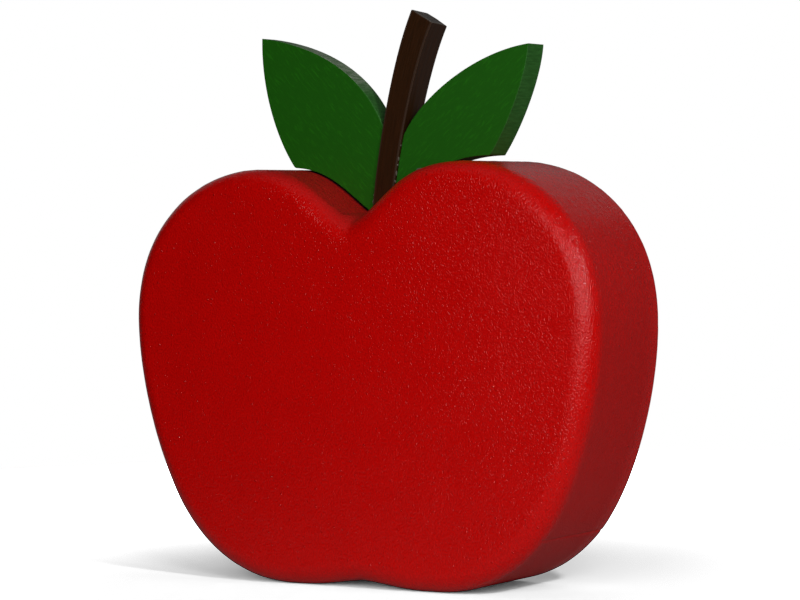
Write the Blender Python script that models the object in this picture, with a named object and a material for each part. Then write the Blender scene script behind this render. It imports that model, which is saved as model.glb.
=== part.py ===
"""Standing display apple: a thick flat apple shape with a stem and two leaves cut from board.

The part is in metres with +Z up. X runs across the apple, and its front face looks along -Y.
The origin lies under the middle of the body, on the surface that the apple stands on.
Outlines are drawn in millimetres in the X-Z plane, as cubic Bezier curves, and extruded along Y.
"""
from math import cos, radians, sin

import bmesh
import bpy
from mathutils import Matrix, Vector

MM = 0.001
SHARP_ANGLE = radians(30.0)

# Body: overall size, and the quarter round along the edge of its front face.
BODY_HALF_WIDTH = 225.0
BODY_HEIGHT = 336.2
BODY_DEPTH = 100.0
FRONT_ROUNDING = 16.2
ROUNDING_SEGMENTS = 8

# Body: the knots of half its outline, from the notch below, round the lobe, to the dip above.
NOTCH = Vector((0.0, 5.7))
FOOT_INNER = Vector((58.3, 0.0))
FOOT_OUTER = Vector((70.3, 0.0))
FLANK = Vector((186.0, 67.5))
WIDEST = Vector((BODY_HALF_WIDTH, 212.0))
LOBE_TOP = Vector((99.7, BODY_HEIGHT))
DIP = Vector((0.0, 294.2))

# Body: the outline's slope at three knots, and how long each curve's handles are.
NOTCH_SLOPE = radians(-4.8)
FLANK_SLOPE = radians(59.8)
DIP_SLOPE = radians(21.5)
NOTCH_HANDLE = 18.7
FOOT_INNER_HANDLE = 18.1
FOOT_OUTER_HANDLE = 66.6
FLANK_LOW_HANDLE = 29.3
FLANK_HIGH_HANDLE = 47.5
WIDEST_LOW_HANDLE = 46.3
WIDEST_HIGH_HANDLE = 80.9
LOBE_OUTER_HANDLE = 62.4
LOBE_INNER_HANDLE = 58.4
DIP_HANDLE = 32.5

# Board pieces: where their front faces lie, and how thick each board is.
STEM_FRONT_Y = 2.0
STEM_DEPTH = 23.4
LEAF_FRONT_Y = 4.0
LEFT_LEAF_THICKNESS = 17.0
RIGHT_LEAF_THICKNESS = 22.8
JOINT_GAP = 0.35

# Stem: its centre line, half its width at each end, its wedge foot and its sawn top.
STEM_FOOT = Vector((-1.3, 300.0))
STEM_LOW_HANDLE = Vector((4.9, 340.2))
STEM_HIGH_HANDLE = Vector((20.9, 413.3))
STEM_TOP = Vector((42.5, 452.9))
STEM_FOOT_HALF_WIDTH = 9.0
STEM_TOP_HALF_WIDTH = 11.3
STEM_WEDGE_TIP = Vector((0.0, 294.9))
STEM_SPARE_LENGTH = 1.04
STEM_SAW_SLANT = 0.07
STEM_SAW_LEAN = 0.035
STEM_STEPS = 18

# Leaves: each has a tip, a corner at the outer end of its lower edge, and an end at the stem.
LEFT_TIP = Vector((-119.8, 445.8))
LEFT_CORNER = Vector((-89.0, 337.3))
LEFT_OUTER_HANDLES = (Vector((-122.0, 408.9)), Vector((-110.6, 366.7)))
LEFT_LOWER_HANDLES = (Vector((-66.0, 335.8)), Vector((-42.0, 325.5)))
LEFT_UPPER_HANDLES = (Vector((-18.7, 414.9)), Vector((-68.8, 437.6)))
LEFT_STEM_HEIGHTS = (301.4, 366.8)
RIGHT_TIP = Vector((141.0, 425.7))
RIGHT_CORNER = Vector((102.9, 340.5))
RIGHT_UPPER_HANDLES = (Vector((90.4, 422.0)), Vector((37.6, 389.1)))
RIGHT_LOWER_HANDLES = (Vector((34.0, 320.0)), Vector((52.0, 341.5)))
RIGHT_OUTER_HANDLES = (Vector((118.4, 362.7)), Vector((138.2, 400.8)))
RIGHT_STEM_HEIGHTS = (300.8, 359.5)
LONG_EDGE_STEPS = 18
SHORT_EDGE_STEPS = 14
STEM_EDGE_STEPS = 6

# Pins: beech rods glued into drilled holes, hidden inside the joints.
DOWEL_RADIUS = 4.0
DOWEL_LENGTH = 80.0
DOWEL_LOW_X = -4.4
DOWEL_LOW_Z = 254.0
DOWEL_LEAN = radians(5.5)
PIN_RADIUS = 3.0
PIN_LENGTH = 27.0
PIN_DEPTH_IN_STEM = 11.0
LEFT_PIN_HEIGHT = 347.0
RIGHT_PIN_HEIGHT = 361.0
ROD_SIDES = 24
HOLE_CLEARANCE = 0.3
HOLE_END_CLEARANCE = 1.0


def clear_scene():
    """Remove every object of the scene."""
    for item in list(bpy.data.objects):
        bpy.data.objects.remove(item, do_unlink=True)


def make_material(name, colour, roughness):
    """A Principled material of one linear colour and roughness."""
    material = bpy.data.materials.new(name)
    material.use_nodes = True
    shader = material.node_tree.nodes["Principled BSDF"]
    shader.inputs["Base Color"].default_value = (*colour, 1.0)
    shader.inputs["Roughness"].default_value = roughness
    shader.inputs["Metallic"].default_value = 0.0
    return material


def bezier_point(start, handle_a, handle_b, end, t):
    """The point of a cubic Bezier curve at t, from 0 at its start to 1 at its end."""
    s = 1.0 - t
    return s**3 * start + 3 * s * s * t * handle_a + 3 * s * t * t * handle_b + t**3 * end


def bezier(start, handle_a, handle_b, end, steps):
    """Points along a Bezier curve, from its start up to but without its end."""
    return [bezier_point(start, handle_a, handle_b, end, step / steps) for step in range(steps)]


def along(slope, length):
    """A vector of a given length at a slope from +X towards +Z."""
    return length * Vector((cos(slope), sin(slope)))


def body_outline():
    """The body's outline: the right half from the notch to the dip, then its mirror image."""
    across = Vector((1.0, 0.0))
    up = Vector((0.0, 1.0))
    right = bezier(NOTCH, NOTCH + along(NOTCH_SLOPE, NOTCH_HANDLE),
                   FOOT_INNER - FOOT_INNER_HANDLE * across, FOOT_INNER, 8)
    right.append(FOOT_INNER)
    right += bezier(FOOT_OUTER, FOOT_OUTER + FOOT_OUTER_HANDLE * across,
                    FLANK - along(FLANK_SLOPE, FLANK_LOW_HANDLE), FLANK, 14)
    right += bezier(FLANK, FLANK + along(FLANK_SLOPE, FLANK_HIGH_HANDLE),
                    WIDEST - WIDEST_LOW_HANDLE * up, WIDEST, 12)
    right += bezier(WIDEST, WIDEST + WIDEST_HIGH_HANDLE * up,
                    LOBE_TOP + LOBE_OUTER_HANDLE * across, LOBE_TOP, 22)
    right += bezier(LOBE_TOP, LOBE_TOP - LOBE_INNER_HANDLE * across,
                    DIP + along(DIP_SLOPE, DIP_HANDLE), DIP, 16)
    left = [Vector((-point.x, point.y)) for point in reversed(right[1:])]
    return right + [DIP] + left


def finish_piece(name, mesh, material):
    """Turn a bmesh into a named object, smooth over its round stretches."""
    data = bpy.data.meshes.new(name)
    mesh.to_mesh(data)
    mesh.free()
    data.materials.append(material)
    data.shade_smooth()
    data.set_sharp_from_angle(angle=SHARP_ANGLE)
    piece = bpy.data.objects.new(name, data)
    bpy.context.scene.collection.objects.link(piece)
    return piece


def plate(outline, front_y, depth):
    """A closed plate as a bmesh: the outline is a face at front_y, extruded back along +Y."""
    mesh = bmesh.new()
    rim = [mesh.verts.new((point.x * MM, front_y * MM, point.y * MM)) for point in outline]
    front = mesh.faces.new(rim)
    extruded = bmesh.ops.extrude_face_region(mesh, geom=[front])
    back = [item for item in extruded["geom"] if isinstance(item, bmesh.types.BMVert)]
    bmesh.ops.translate(mesh, verts=back, vec=(0.0, depth * MM, 0.0))
    bmesh.ops.recalc_face_normals(mesh, faces=mesh.faces)
    return mesh


def make_body(material):
    """The body: a plate whose front edge has a quarter round, creased at the dip and the notch."""
    front_y = -BODY_DEPTH / 2
    mesh = plate(body_outline(), front_y, BODY_DEPTH)
    front = [edge for edge in mesh.edges if all(vert.co.y < 0.0 for vert in edge.verts)]
    bmesh.ops.bevel(mesh, geom=front, affect="EDGES", offset_type="OFFSET", offset=FRONT_ROUNDING * MM,
                    segments=ROUNDING_SEGMENTS, profile=0.5, clamp_overlap=False,
                    miter_inner="SHARP", miter_outer="SHARP")
    return finish_piece("apple_body", mesh, material)


def stem_centre(t):
    """A point of the stem's centre line, which leans and curves to the right."""
    return bezier_point(STEM_FOOT, STEM_LOW_HANDLE, STEM_HIGH_HANDLE, STEM_TOP, t)


def stem_direction(t):
    """The way the centre line runs at t."""
    step = 0.001
    return (stem_centre(t + step) - stem_centre(t - step)).normalized()


def stem_side(t, side):
    """A point of the stem's left (side -1) or right (side +1) edge."""
    forward = stem_direction(t)
    half_width = STEM_FOOT_HALF_WIDTH + (STEM_TOP_HALF_WIDTH - STEM_FOOT_HALF_WIDTH) * t
    return stem_centre(t) + side * half_width * Vector((forward.y, -forward.x))


def stem_side_at(height, side):
    """The stem's edge at a height, found by halving the range of t."""
    low, high = 0.0, 1.0
    for _ in range(40):
        middle = (low + high) / 2
        if stem_side(middle, side).y < height:
            low = middle
        else:
            high = middle
    return stem_side(low, side)


def make_stem(material):
    """The stem: a curved square bar, wedge-shaped at the foot and sawn slightly aslant at the top."""
    stations = [STEM_SPARE_LENGTH * step / STEM_STEPS for step in range(STEM_STEPS + 1)]
    right = [stem_side(t, 1) for t in stations]
    left = [stem_side(t, -1) for t in reversed(stations)]
    mesh = plate([STEM_WEDGE_TIP] + right + left, STEM_FRONT_Y, STEM_DEPTH)

    forward = stem_direction(1.0)
    saw_point = Vector((STEM_TOP.x, STEM_FRONT_Y + STEM_DEPTH / 2, STEM_TOP.y)) * MM
    whole = mesh.verts[:] + mesh.edges[:] + mesh.faces[:]
    cut = bmesh.ops.bisect_plane(mesh, geom=whole, plane_co=saw_point,
                                 plane_no=(forward.x + STEM_SAW_LEAN * forward.y, STEM_SAW_SLANT,
                                           forward.y - STEM_SAW_LEAN * forward.x), clear_outer=True)
    cut_edges = [item for item in cut["geom_cut"] if isinstance(item, bmesh.types.BMEdge)]
    bmesh.ops.contextual_create(mesh, geom=cut_edges)
    return finish_piece("stem", mesh, material)


def edge_at_stem(heights, side):
    """A leaf's edge beside the stem, upwards between two heights and a joint's gap away from it."""
    low, high = heights
    levels = [low + (high - low) * step / STEM_EDGE_STEPS for step in range(STEM_EDGE_STEPS + 1)]
    return [stem_side_at(level, side) + Vector((side * JOINT_GAP, 0.0)) for level in levels]


def make_left_leaf(material):
    """The left leaf: an outer and an upper curve from its tip, and a lower edge over the lobe."""
    at_stem = edge_at_stem(LEFT_STEM_HEIGHTS, -1)
    outline = bezier(LEFT_TIP, *LEFT_OUTER_HANDLES, LEFT_CORNER, SHORT_EDGE_STEPS)
    outline += bezier(LEFT_CORNER, *LEFT_LOWER_HANDLES, at_stem[0], SHORT_EDGE_STEPS)
    outline += at_stem[:-1]
    outline += bezier(at_stem[-1], *LEFT_UPPER_HANDLES, LEFT_TIP, LONG_EDGE_STEPS)
    return finish_piece("left_leaf", plate(outline, LEAF_FRONT_Y, LEFT_LEAF_THICKNESS), material)


def make_right_leaf(material):
    """The right leaf: like the left one, with its lower edge held a little above the lobe."""
    at_stem = edge_at_stem(RIGHT_STEM_HEIGHTS, 1)
    outline = bezier(RIGHT_TIP, *RIGHT_UPPER_HANDLES, at_stem[-1], LONG_EDGE_STEPS)
    outline += at_stem[:0:-1]
    outline += bezier(at_stem[0], *RIGHT_LOWER_HANDLES, RIGHT_CORNER, SHORT_EDGE_STEPS)
    outline += bezier(RIGHT_CORNER, *RIGHT_OUTER_HANDLES, RIGHT_TIP, SHORT_EDGE_STEPS)
    return finish_piece("right_leaf", plate(outline, LEAF_FRONT_Y, RIGHT_LEAF_THICKNESS), material)


def rod(name, low_end, direction, length, radius, material):
    """A round rod with flat ends, from its low end along a direction."""
    mesh = bmesh.new()
    turn = Vector((0.0, 0.0, 1.0)).rotation_difference(direction).to_matrix().to_4x4()
    middle = (low_end + direction * (length / 2)) * MM
    bmesh.ops.create_cone(mesh, cap_ends=True, segments=ROD_SIDES, radius1=radius * MM,
                          radius2=radius * MM, depth=length * MM,
                          matrix=Matrix.Translation(middle) @ turn)
    return finish_piece(name, mesh, material)


def drill(piece, low_end, direction, length, radius, material):
    """Cut a round hole, a little wider and longer than the rod that goes in it."""
    start = low_end - direction * HOLE_END_CLEARANCE
    cutter = rod(piece.name + "_drill", start, direction, length + 2 * HOLE_END_CLEARANCE,
                 radius + HOLE_CLEARANCE, material)
    cutter.hide_render = True
    cutter.display_type = "WIRE"
    hole = piece.modifiers.new("hole", "BOOLEAN")
    hole.operation = "DIFFERENCE"
    hole.solver = "EXACT"
    hole.object = cutter


def pin_together(name, pieces, low_end, direction, length, radius, material):
    """A rod, with its hole in each piece that it passes into."""
    for piece in pieces:
        drill(piece, low_end, direction, length, radius, material)
    return rod(name, low_end, direction, length, radius, material)


def make_stem_dowel(body, stem, material):
    """The dowel that carries the stem: half in the body below the dip, half up the stem."""
    low_end = Vector((DOWEL_LOW_X, STEM_FRONT_Y + STEM_DEPTH / 2, DOWEL_LOW_Z))
    direction = Vector((sin(DOWEL_LEAN), 0.0, cos(DOWEL_LEAN)))
    return pin_together("stem_dowel", [body, stem], low_end, direction, DOWEL_LENGTH, DOWEL_RADIUS,
                        material)


def make_leaf_pin(leaf, stem, height, side, thickness, material):
    """A level pin across the joint between the stem's side and a leaf."""
    low_x = stem_side_at(height, side).x - PIN_DEPTH_IN_STEM
    if side < 0:
        low_x += 2 * PIN_DEPTH_IN_STEM - PIN_LENGTH
    low_end = Vector((low_x, LEAF_FRONT_Y + thickness / 2, height))
    return pin_together(leaf.name + "_pin", [leaf, stem], low_end, Vector((1.0, 0.0, 0.0)),
                        PIN_LENGTH, PIN_RADIUS, material)


def main():
    """Build the seven pieces and gather them under one empty."""
    clear_scene()
    red_coat = make_material("red_coated_foam", (0.36, 0.004, 0.004), 0.45)
    green_paint = make_material("green_painted_board", (0.010, 0.060, 0.004), 0.6)
    brown_stain = make_material("brown_stained_wood", (0.020, 0.008, 0.003), 0.55)
    beech = make_material("beech_rod", (0.55, 0.36, 0.19), 0.6)

    body = make_body(red_coat)
    stem = make_stem(brown_stain)
    left_leaf = make_left_leaf(green_paint)
    right_leaf = make_right_leaf(green_paint)
    dowel = make_stem_dowel(body, stem, beech)
    left_pin = make_leaf_pin(left_leaf, stem, LEFT_PIN_HEIGHT, -1, LEFT_LEAF_THICKNESS, beech)
    right_pin = make_leaf_pin(right_leaf, stem, RIGHT_PIN_HEIGHT, 1, RIGHT_LEAF_THICKNESS, beech)

    holder = bpy.data.objects.new("display_apple", None)
    bpy.context.scene.collection.objects.link(holder)
    for piece in (body, stem, left_leaf, right_leaf, dowel, left_pin, right_pin):
        piece.parent = holder


main()
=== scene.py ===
"""Display apple: a hard-coated foam slab in the shape of an apple, with board leaves and a stem.

Laid out as a Blender add-on and run as a script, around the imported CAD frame. The frame is in
metres. The outlines here are drawn in millimetres in the X-Z plane, and each piece is finished in
metres.
"""

from functools import partial
from math import cos, radians, sin

import bpy
import numpy as np
from bpy.props import (FloatProperty, FloatVectorProperty, IntProperty, PointerProperty,
                       StringProperty)
from mathutils import Matrix, Vector


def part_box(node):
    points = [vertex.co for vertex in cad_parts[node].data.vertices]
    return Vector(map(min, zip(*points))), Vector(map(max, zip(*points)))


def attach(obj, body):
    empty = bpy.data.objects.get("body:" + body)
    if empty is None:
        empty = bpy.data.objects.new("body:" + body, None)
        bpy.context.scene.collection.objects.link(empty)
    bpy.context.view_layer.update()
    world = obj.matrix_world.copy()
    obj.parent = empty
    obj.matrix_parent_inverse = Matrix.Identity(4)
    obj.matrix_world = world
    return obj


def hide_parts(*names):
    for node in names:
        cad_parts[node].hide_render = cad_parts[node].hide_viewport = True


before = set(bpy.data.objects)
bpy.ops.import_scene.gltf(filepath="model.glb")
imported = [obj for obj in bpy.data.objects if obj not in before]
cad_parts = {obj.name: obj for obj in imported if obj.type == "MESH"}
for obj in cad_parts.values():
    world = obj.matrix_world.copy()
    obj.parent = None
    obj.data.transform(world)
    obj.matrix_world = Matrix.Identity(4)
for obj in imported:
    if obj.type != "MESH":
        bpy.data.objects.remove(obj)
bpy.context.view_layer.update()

bl_info = {
    "name": "Display Apple",
    "version": (1, 0, 0),
    "blender": (4, 5, 0),
    "location": "3D View > Sidebar > Display Apple",
    "description": "Builds the coated body, the leaves, the stem and a plain studio",
    "category": "Add Mesh",
}

MM = 0.001

BODY_LOW, BODY_HIGH = (np.array(corner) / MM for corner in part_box("apple_body"))
STEM_LOW, STEM_HIGH = (np.array(corner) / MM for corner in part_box("stem"))
LEFT_LOW, LEFT_HIGH = (np.array(corner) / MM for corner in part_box("left_leaf"))
RIGHT_LOW, RIGHT_HIGH = (np.array(corner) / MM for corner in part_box("right_leaf"))


def at(x, z):
    """A point of an outline, in millimetres."""
    return np.array([x, z], float)


def heading(degrees, length):
    """A handle of a given length, at an angle from +X towards +Z."""
    return length * at(cos(radians(degrees)), sin(radians(degrees)))


# Body: the knots of half its outline and their handles, as in the frame.
NOTCH = at(0.0, 5.7)
FOOT_INNER = at(58.3, 0.0)
FOOT_OUTER = at(70.3, 0.0)
FLANK = at(186.0, 67.5)
WIDEST = at(BODY_HIGH[0], 212.0)
LOBE_TOP = at(99.7, BODY_HIGH[2])
DIP = at(0.0, 294.2)
NOTCH_SLOPE = 4.8
FLANK_SLOPE = 59.8
DIP_SLOPE = 21.5
BODY_CURVES = (
    (NOTCH, NOTCH + heading(-NOTCH_SLOPE, 18.7), FOOT_INNER - at(18.1, 0.0), FOOT_INNER),
    (FOOT_INNER, FOOT_INNER + at(4.0, 0.0), FOOT_OUTER - at(4.0, 0.0), FOOT_OUTER),
    (FOOT_OUTER, FOOT_OUTER + at(66.6, 0.0), FLANK - heading(FLANK_SLOPE, 29.3), FLANK),
    (FLANK, FLANK + heading(FLANK_SLOPE, 47.5), WIDEST - at(0.0, 46.3), WIDEST),
    (WIDEST, WIDEST + at(0.0, 80.9), LOBE_TOP + at(62.4, 0.0), LOBE_TOP),
    (LOBE_TOP, LOBE_TOP - at(58.4, 0.0), DIP + heading(DIP_SLOPE, 32.5), DIP),
)
BODY_MIDDLE = at(0.0, 165.0)
BACK_ARRIS = 0.4
SEAM = at(169.1, 43.9)
SEAM_HALF_WIDTH = 1.1

# Coat: wavelengths of its relief, and how far its crests are sunk, so that none leaves the frame.
SLOW_WAVE, QUICK_WAVE, LUMP_WAVE = 34.0, 13.0, 8.0
CREST, TROUGH = 1.5, -4.0
FINEST_COAT = 0.1

# Stem: its centre line, its half widths and its wedge foot.
STEM_CURVE = (at(-1.3, 300.0), at(4.9, 340.2), at(20.9, 413.3), at(42.5, 452.9))
STEM_FOOT_HALF_WIDTH = 9.0
STEM_TOP_HALF_WIDTH = 11.3
STEM_WEDGE_TIP = at(0.0, 294.9)
STEM_RINGS = 70
# How much lower the saw cut lies per millimetre back and right, and at the worn corner.
SAW_SLANT = 0.07
SAW_LEAN = 0.035
SAW_TWIST = 0.006
SAW_ARRIS = 0.6
PLANED_WAVE, PLANED_DEPTH = 6.0, 0.05

# Leaves: the curves from tip to corner, along the lower edge and along the upper edge.
LEFT_TIP, LEFT_CORNER = at(-119.8, 445.8), at(-89.0, 337.3)
RIGHT_TIP, RIGHT_CORNER = at(141.0, 425.7), at(102.9, 340.5)
LEFT_OUTER_HANDLES = (at(-122.0, 408.9), at(-110.6, 366.7))
LEFT_LOWER_HANDLES = (at(-51.0, 335.0), at(-34.0, 312.6))
LEFT_UPPER_HANDLES = (at(-18.7, 414.9), at(-68.8, 437.6))
LEFT_STEM_HEIGHTS = (297.9, 366.8)
RIGHT_OUTER_HANDLES = (at(138.5, 400.6), at(119.8, 362.2))
RIGHT_LOWER_HANDLES = (at(52.0, 341.5), at(34.0, 320.0))
RIGHT_UPPER_HANDLES = (at(37.6, 389.1), at(90.4, 422.0))
RIGHT_STEM_HEIGHTS = (300.8, 359.5)
LEFT_MIDDLE, RIGHT_MIDDLE = at(-58.0, 382.0), at(72.0, 372.0)
LEFT_LEAN, RIGHT_LEAN = radians(-46.0), radians(38.0)
JOINT_GAP = 0.35
SOFT_CORNER = 2.0
SMALLEST_ARRIS = 0.5


# ---------------------------------------------------------------- curves and surfaces

def bezier_at(knots, t):
    """Points at t of a cubic Bezier curve: its knots weighted by the Bernstein polynomials."""
    t = np.asarray(t, float)[..., None]
    s = 1.0 - t
    return s**3 * knots[0] + 3 * s * s * t * knots[1] + 3 * s * t * t * knots[2] + t**3 * knots[3]


def bezier(knots, count):
    """A cubic Bezier curve as points at even steps of t."""
    return bezier_at(knots, np.linspace(0.0, 1.0, count))


def arc_length(points):
    """Distance along a polyline, from its first point to each point."""
    steps = np.linalg.norm(np.diff(points, axis=0), axis=1)
    return np.concatenate([[0.0], np.cumsum(steps)])


def follow(points, lengths, stations):
    """Points at given distances along a polyline."""
    return np.stack([np.interp(stations, lengths, points[:, axis]) for axis in (0, 1)], axis=1)


def even(points, count):
    """The same curve as evenly spaced points, without its last one."""
    lengths = arc_length(points)
    return follow(points, lengths, np.linspace(0.0, lengths[-1], count + 1)[:-1])


def soft_corner(before, after, reach):
    """Two curves that share a corner, cut back by a reach, with a curve between them.

    The curve between is a cubic Bezier whose handles reach two thirds of the way to the corner.
    """
    lengths, on = arc_length(before), arc_length(after)
    first = follow(before, lengths, np.linspace(0.0, lengths[-1] - reach, 200))
    last = follow(after, on, np.linspace(reach, on[-1], 200))
    corner = before[-1]
    handles = [(end + 2 * corner) / 3 for end in (first[-1], last[0])]
    bend = bezier((first[-1], *handles, last[0]), 30)
    return first, bend, last


def outward(points):
    """Mitred outward normals of a closed counter-clockwise outline.

    The two edges at a point have unit normals a and b. The mitre is (a + b) / (1 + a.b), so that
    an outline moved by a distance along it keeps that distance from both edges.
    """
    edges = np.roll(points, -1, axis=0) - points
    edges /= np.linalg.norm(edges, axis=1)[:, None]
    after = np.stack([edges[:, 1], -edges[:, 0]], axis=1)
    before = np.roll(after, 1, axis=0)
    return (before + after) / (1.0 + (before * after).sum(axis=1))[:, None]


def smooth_step(x, low, high):
    """0 below low, 1 above high, and 3t^2 - 2t^3 between them."""
    t = np.clip((x - low) / (high - low), 0.0, 1.0)
    return t * t * (3.0 - 2.0 * t)


def ripple(points, wavelength, seed, waves=36):
    """Even random relief of one wavelength, about -1 to 1.

    It is the sum of plane waves of that wavelength, with seeded random directions and phases,
    divided by the square root of their number.
    """
    chance = np.random.default_rng(seed)
    directions = chance.normal(size=(waves, 3))
    directions /= np.linalg.norm(directions, axis=1)[:, None]
    phases = chance.uniform(0.0, 2.0 * np.pi, waves)
    total = np.zeros(points.shape[:-1])
    for direction, phase in zip(directions, phases):
        total += np.sin(points @ direction * (2.0 * np.pi / wavelength) + phase)
    return total / np.sqrt(waves)


def shrunk(ring, middle, shares):
    """Copies of a ring that are shrunk towards a middle point, one to each share of its size."""
    return [middle + (ring - middle) * share for share in shares]


def rounding(radius, count):
    """Steps of a quarter circle of radius r from a face to its side.

    Each is an inset r - r cos a and a depth r - r sin a, as a goes from a right angle to 0.
    """
    return [(radius * (1.0 - np.cos(a)), radius * (1.0 - np.sin(a)))
            for a in np.linspace(np.pi / 2, 0.0, count)]


def grid_normals(grid):
    """Unit normals of a grid of rings: the cross product of its steps along and across them."""
    around = np.roll(grid, -1, axis=1) - np.roll(grid, 1, axis=1)
    across = np.gradient(grid, axis=0)
    normals = np.cross(around, across)
    return normals / np.maximum(np.linalg.norm(normals, axis=2), 1e-9)[:, :, None]


def corner_volume(a, b, c):
    """Six times the volume between the origin and triangles with these corners, with its sign."""
    return (np.cross(a, b) * c).sum()


def closed_surface(name, grid, poles, materials, row_materials=None, masks=None):
    """A closed object from a grid of rings in millimetres, with a point to close each end.

    Vertex (i, j) is point j of ring i. Quads join neighbouring rings, and a fan of triangles joins
    each end ring to its pole. The UV map holds the distance along the outline and across the
    rings, in metres. Faces are turned to give a positive volume. Each of the masks holds 0 to 1
    for every point of the grid, and becomes an attribute of that name.
    """
    rings, count = grid.shape[:2]
    points = np.vstack([grid.reshape(-1, 3), poles[0], poles[1]]) * MM
    ring = np.arange(rings)[:-1, None] * count
    here = np.arange(count)[None, :]
    there = (here + 1) % count
    quads = np.stack([ring + here, ring + there, ring + count + there, ring + count + here],
                     axis=-1).reshape(-1, 4)
    first, last = rings * count, rings * count + 1
    here, there = here[0], there[0]
    top = (rings - 1) * count
    triangles = np.vstack([np.stack([there, here, np.full(count, first)], axis=1),
                           np.stack([top + here, top + there, np.full(count, last)], axis=1)])

    around = np.linalg.norm(np.roll(grid, -1, axis=1) - grid, axis=2).max(axis=0)
    u = np.concatenate([[0.0], np.cumsum(around)]) * MM
    across = np.linalg.norm(np.diff(grid, axis=0), axis=2).max(axis=1)
    v = np.concatenate([[0.0], np.cumsum(across)]) * MM
    low_u, high_u = u[:-1], u[1:]
    middle_u = (low_u + high_u) / 2
    quad_u = np.tile(np.stack([low_u, high_u, high_u, low_u], axis=-1), (rings - 1, 1))
    quad_v = np.repeat(np.stack([v[:-1], v[:-1], v[1:], v[1:]], axis=-1), count, axis=0)
    fan_u = np.vstack([np.stack([high_u, low_u, middle_u], axis=1),
                       np.stack([low_u, high_u, middle_u], axis=1)])
    fan_v = np.repeat([[v[0]] * 3, [v[-1]] * 3], count, axis=0)

    corner, tip = points[quads], points[triangles]
    volume = corner_volume(corner[:, 0], corner[:, 1], corner[:, 2])
    volume += corner_volume(corner[:, 0], corner[:, 2], corner[:, 3])
    volume += corner_volume(tip[:, 0], tip[:, 1], tip[:, 2])
    turn = -1 if volume < 0.0 else 1

    def in_turn(of_quads, of_triangles):
        return np.concatenate([of_quads[:, ::turn].ravel(), of_triangles[:, ::turn].ravel()])

    loops = in_turn(quads, triangles)
    starts = np.concatenate([np.arange(len(quads)) * 4,
                             len(quads) * 4 + np.arange(len(triangles)) * 3])
    mesh = bpy.data.meshes.new(name)
    mesh.vertices.add(len(points))
    mesh.vertices.foreach_set("co", points.ravel())
    mesh.loops.add(len(loops))
    mesh.loops.foreach_set("vertex_index", loops)
    mesh.polygons.add(len(starts))
    mesh.polygons.foreach_set("loop_start", starts)
    layer = mesh.uv_layers.new(name="along_and_across")
    layer.data.foreach_set("uv", np.stack([in_turn(quad_u, fan_u), in_turn(quad_v, fan_v)],
                                          axis=1).ravel())
    for mask_name, mask in (masks or {}).items():
        ends = [mask[0].mean(), mask[-1].mean()]
        attribute = mesh.attributes.new(mask_name, "FLOAT", "POINT")
        attribute.data.foreach_set("value", np.concatenate([mask.ravel(), ends]))
    for material in materials:
        mesh.materials.append(material)
    if row_materials is not None:
        slots = np.repeat([*row_materials, row_materials[0], row_materials[-1]], count)
        mesh.polygons.foreach_set("material_index", slots.astype(np.int32))
    mesh.update(calc_edges=True)
    mesh.validate()
    mesh.shade_smooth()
    piece = bpy.data.objects.new(name, mesh)
    bpy.context.scene.collection.objects.link(piece)
    return piece


# ---------------------------------------------------------------- materials

SMOOTH = {"interpolation_type": "SMOOTHSTEP"}
BLEND = {"data_type": "RGBA"}
TIMES = {"operation": "MULTIPLY"}
TIMES_PLUS = {"operation": "MULTIPLY_ADD"}
PAINT_IOR, GLUE_IOR = 1.5, 1.46
# A noise texture seldom leaves this range.
NOISE_LOW, NOISE_HIGH = 0.3, 0.7
# A wave texture repeats about every 0.314 of its own unit.
WAVE_UNIT = 0.314


def linear(hex_colour):
    """An sRGB hex colour as linear red, green, blue and alpha."""
    channels = [int(hex_colour[start:start + 2], 16) / 255.0 for start in (1, 3, 5)]
    lit = [c / 12.92 if c <= 0.04045 else ((c + 0.055) / 1.055) ** 2.4 for c in channels]
    return (*lit, 1.0)


def per_mm(size):
    """The scale that gives a procedural texture features of this size in millimetres."""
    return 1.0 / (size * MM)


def plug(made, **inputs):
    """Set or link a node's inputs by name, or by number as i0, i1 and i2.

    An input that is given a node is linked to that node's first output in use, and one that is
    given a hex colour is set to its linear value.
    """
    for key, value in inputs.items():
        numbered = key[0] == "i" and key[1:].isdigit()
        socket = made.inputs[int(key[1:]) if numbered else key.replace("_", " ")]
        if isinstance(value, bpy.types.Node):
            value = next(output for output in value.outputs if output.enabled)
        if isinstance(value, bpy.types.NodeSocket):
            made.id_data.links.new(value, socket)
        else:
            socket.default_value = linear(value) if isinstance(value, str) else value


def node(tree, kind, settings=None, **inputs):
    """Add a node, set its properties, and set or link its inputs."""
    made = tree.nodes.new("ShaderNode" + kind)
    for key, value in (settings or {}).items():
        setattr(made, key, value)
    plug(made, **inputs)
    return made


def node_tree(owner):
    """The empty node tree of a new material or world, as the function that adds a node to it."""
    owner.use_nodes = True
    owner.node_tree.nodes.clear()
    return partial(node, owner.node_tree)


def new_material(name):
    """A material with a Principled shader, the function that adds a node, and the shader."""
    material = bpy.data.materials.new(name)
    add = node_tree(material)
    shader = add("BsdfPrincipled")
    add("OutputMaterial", Surface=shader)
    return material, add, shader


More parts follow.
